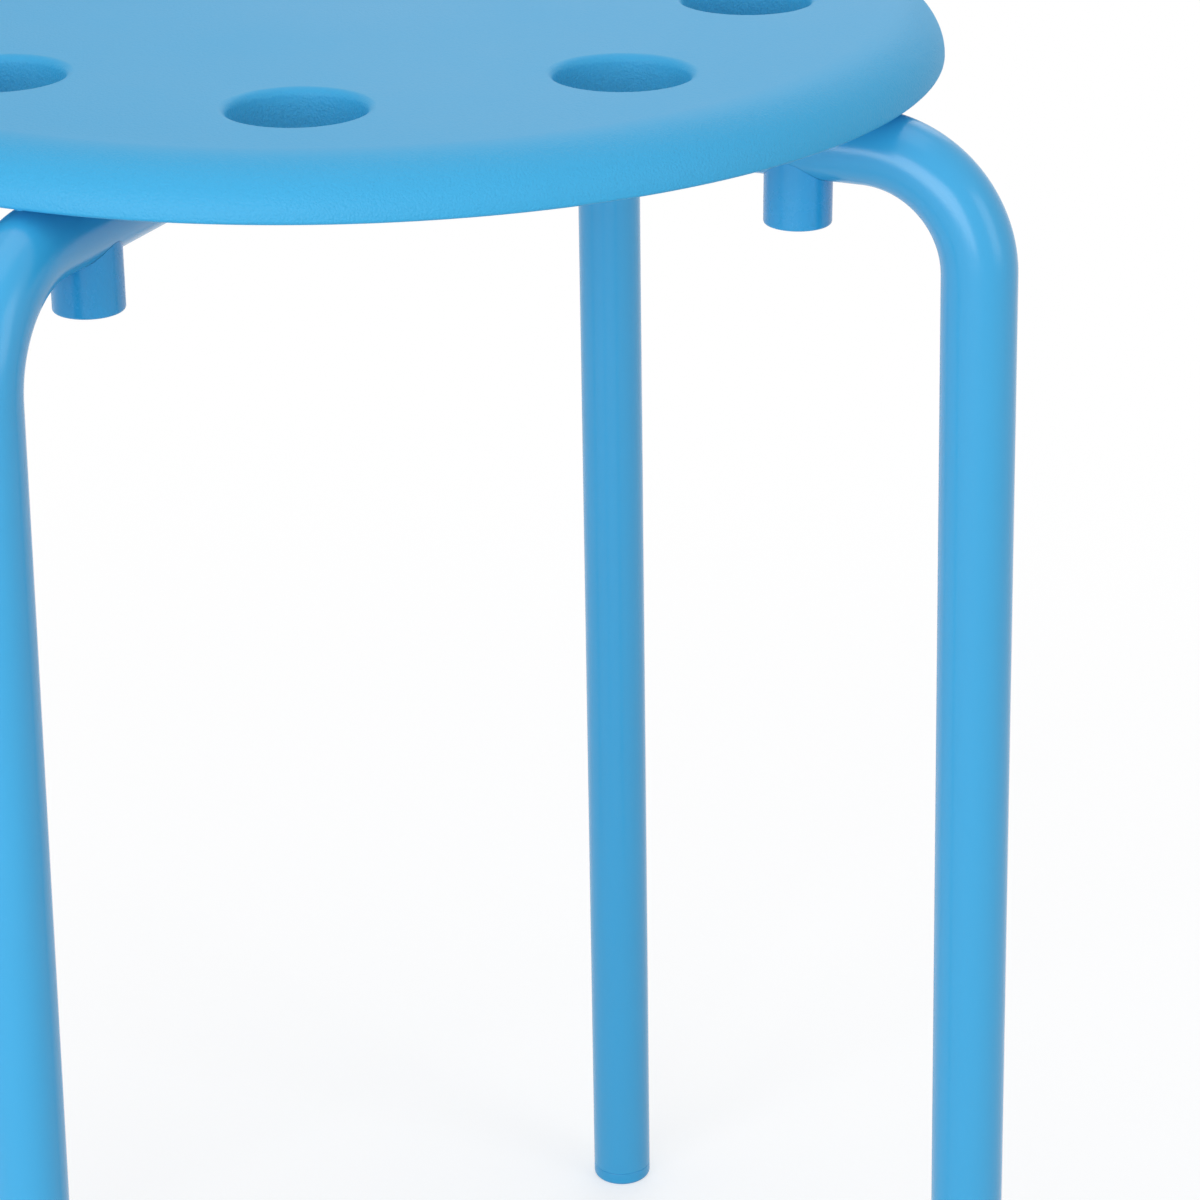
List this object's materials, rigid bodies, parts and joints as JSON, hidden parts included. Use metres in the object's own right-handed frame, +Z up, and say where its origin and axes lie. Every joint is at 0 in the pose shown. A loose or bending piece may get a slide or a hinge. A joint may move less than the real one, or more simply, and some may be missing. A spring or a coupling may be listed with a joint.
{
  "type": "stacking stool",
  "caption": "Backless stacking stool: round moulded plastic seat with finger holes on a bent steel tube frame with stacking stubs and foot plugs.",
  "frame": {"origin": "on the floor, below the middle of the seat", "axes": "+Z up; +X along the through tube, to the leg named right; +Y along the half tubes, to the leg named rear"},
  "size_m": [0.3862, 0.3862, 0.451],
  "materials": {
    "seat_plastic": "moulded polypropylene with a fine pebble grain, light blue",
    "tube_paint": "smooth glossy powder coat in the seat's blue",
    "stub_plastic": "smooth moulded plastic in the seat's blue",
    "foot_plastic": "smooth moulded plastic in the seat's blue",
    "zinc_plate": "bright zinc plate"
  },
  "bodies": {
    "root": {"seat": "seat_plastic", "through_tube": "tube_paint", "half_tube_rear": "tube_paint", "half_tube_front": "tube_paint", "stacking_stub_right": "stub_plastic", "stacking_stub_rear": "stub_plastic", "stacking_stub_left": "stub_plastic", "stacking_stub_front": "stub_plastic", "seat_screw_right": "zinc_plate", "seat_screw_rear": "zinc_plate", "seat_screw_left": "zinc_plate", "seat_screw_front": "zinc_plate", "screw_washer_right": "zinc_plate", "screw_washer_rear": "zinc_plate", "screw_washer_left": "zinc_plate", "screw_washer_front": "zinc_plate", "foot_plug_right": "foot_plastic", "foot_plug_rear": "foot_plastic", "foot_plug_left": "foot_plastic", "foot_plug_front": "foot_plastic"}
  },
  "joints": []
}
